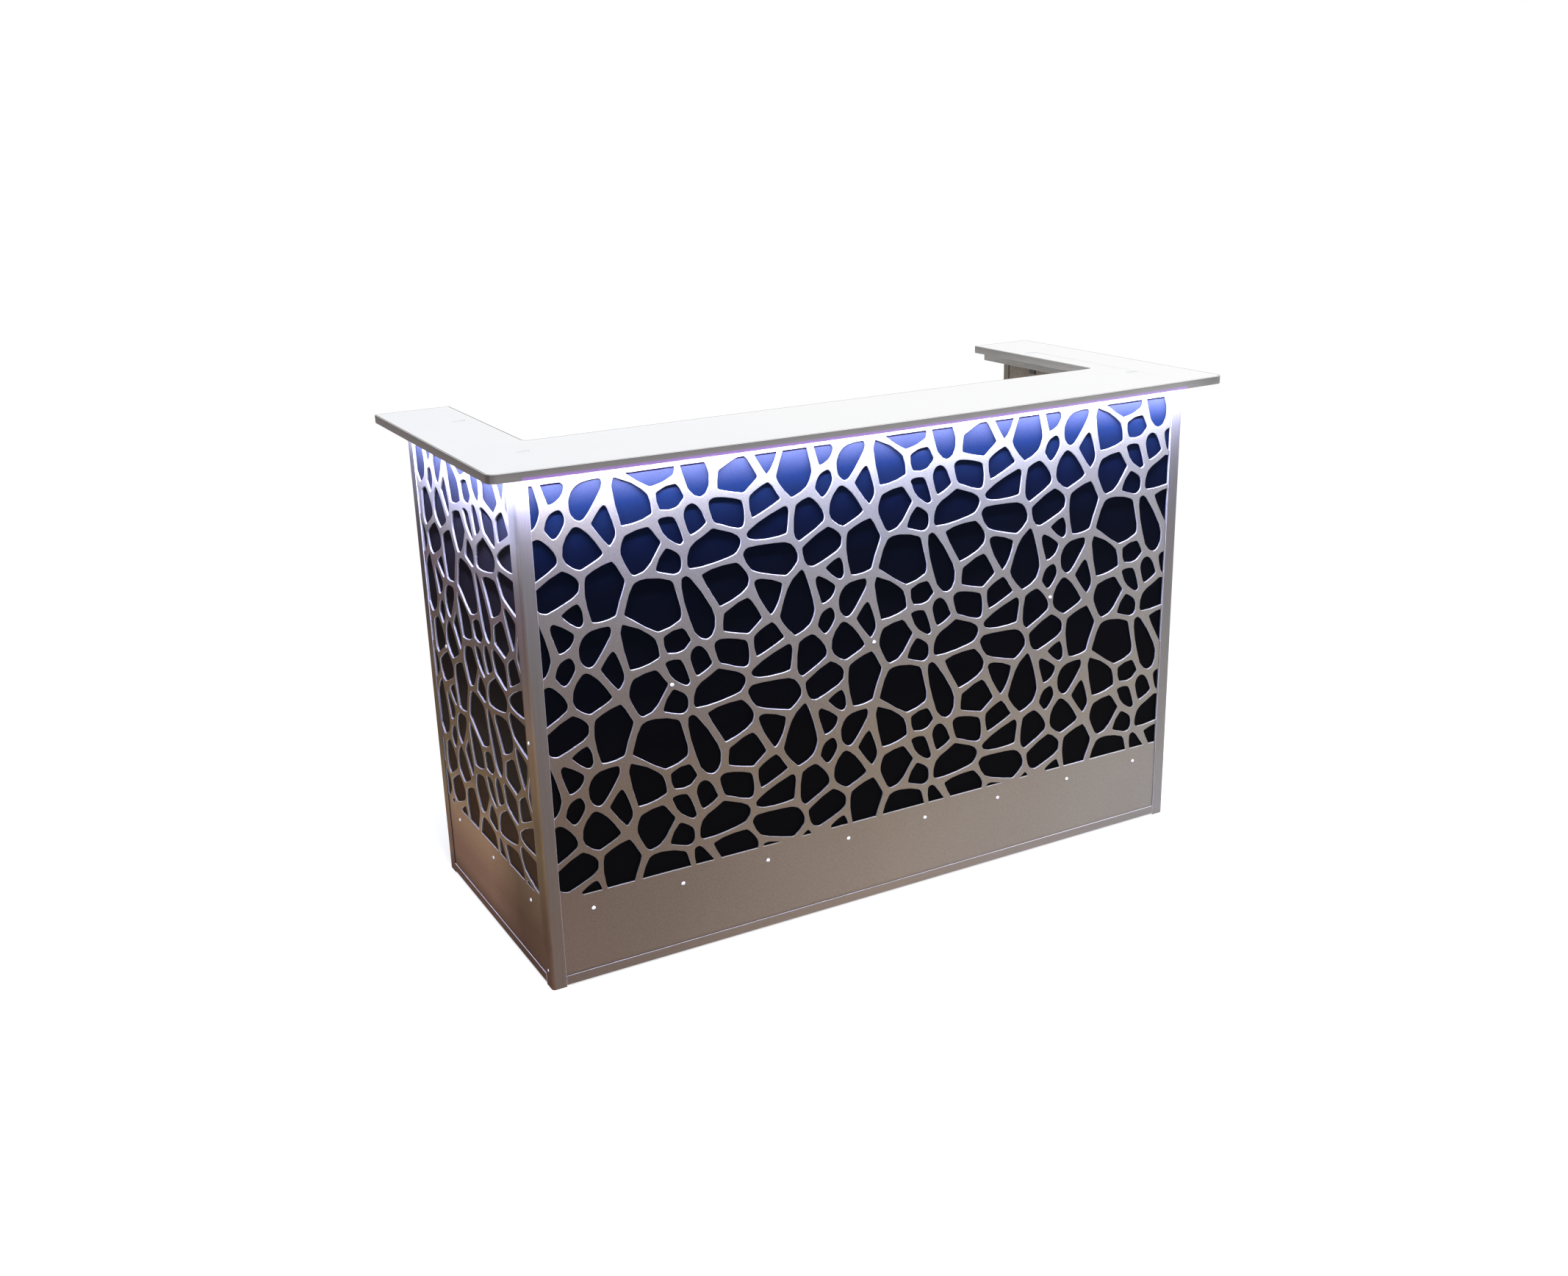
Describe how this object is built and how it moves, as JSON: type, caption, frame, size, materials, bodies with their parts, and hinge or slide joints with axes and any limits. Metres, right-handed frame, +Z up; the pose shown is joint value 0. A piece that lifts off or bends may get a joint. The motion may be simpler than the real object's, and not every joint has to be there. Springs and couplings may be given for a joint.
{
  "type": "illuminated bar counter",
  "caption": "Free-standing bar counter with a U-shaped worktop, silver screens of cut-out cells over dark blue boards, light strips under the overhang and inside shelves.",
  "frame": {"origin": "on the floor, below the middle of the counter's outline", "axes": "+X towards the counter's right end as guests see it, -Y towards the guests, +Z up"},
  "size_m": [1.76, 0.764, 1.1],
  "materials": {
    "white_laminate": "satin white laminate on board, with a grey edge",
    "silver_sheet": "fine-grained satin silver sheet",
    "anodised_aluminium": "satin anodised profile",
    "navy_board": "deep blue satin board",
    "grey_board": "grey-brown faced board",
    "pale_plastic": "pale grey plastic cover cap",
    "opal_plastic": "opal light cover",
    "black_plastic": "moulded black plastic",
    "zinc_steel": "zinc-plated steel",
    "bright_rivet": "bright metal fastener head"
  },
  "bodies": {
    "counter": {"worktop": "white_laminate", "front_screen": "silver_sheet", "left_screen": "silver_sheet", "right_screen": "silver_sheet", "left_corner_post": "anodised_aluminium", "right_corner_post": "anodised_aluminium", "left_rear_post": "anodised_aluminium", "right_rear_post": "anodised_aluminium", "front_rail": "anodised_aluminium", "left_rail": "anodised_aluminium", "right_rail": "anodised_aluminium", "front_light_channel": "anodised_aluminium", "left_light_channel": "anodised_aluminium", "right_light_channel": "anodised_aluminium", "front_backing": "navy_board", "left_backing": "navy_board", "right_backing": "navy_board", "front_top_rail": "grey_board", "left_top_rail": "grey_board", "right_top_rail": "grey_board", "lower_shelf": "grey_board", "upper_shelf": "grey_board", "lower_upright": "grey_board", "upper_upright": "grey_board", "left_lower_batten": "grey_board", "right_lower_batten": "grey_board", "left_upper_batten": "grey_board", "right_upper_batten": "grey_board", "left_front_cap": "pale_plastic", "left_rear_cap": "pale_plastic", "right_front_cap": "pale_plastic", "right_rear_cap": "pale_plastic", "front_light_cover": "opal_plastic", "left_light_cover": "opal_plastic", "right_light_cover": "opal_plastic", "light_driver": "black_plastic", "supply_inlet": "black_plastic", "switch_housing": "black_plastic", "left_side_bracket": "zinc_steel", "right_side_bracket": "zinc_steel", "left_front_bracket": "zinc_steel", "right_front_bracket": "zinc_steel", "kick_rivet_1": "bright_rivet", "kick_rivet_2": "bright_rivet", "kick_rivet_3": "bright_rivet", "kick_rivet_4": "bright_rivet", "kick_rivet_5": "bright_rivet", "kick_rivet_6": "bright_rivet", "kick_rivet_7": "bright_rivet", "kick_rivet_8": "bright_rivet", "middle_rivet_1": "bright_rivet", "middle_rivet_2": "bright_rivet", "middle_rivet_3": "bright_rivet", "left_post_screw_1": "bright_rivet", "left_post_screw_2": "bright_rivet", "right_post_screw_1": "bright_rivet", "right_post_screw_2": "bright_rivet"},
    "switch_rocker": {"rocker": "black_plastic"}
  },
  "joints": [
    {"name": "light_switch", "type": "hinge", "parent": "counter", "child": "switch_rocker", "pos_m": [-0.296, -0.1095, 1.0494], "axis": [1, 0, 0], "range_deg": [-16, 0]}
  ]
}
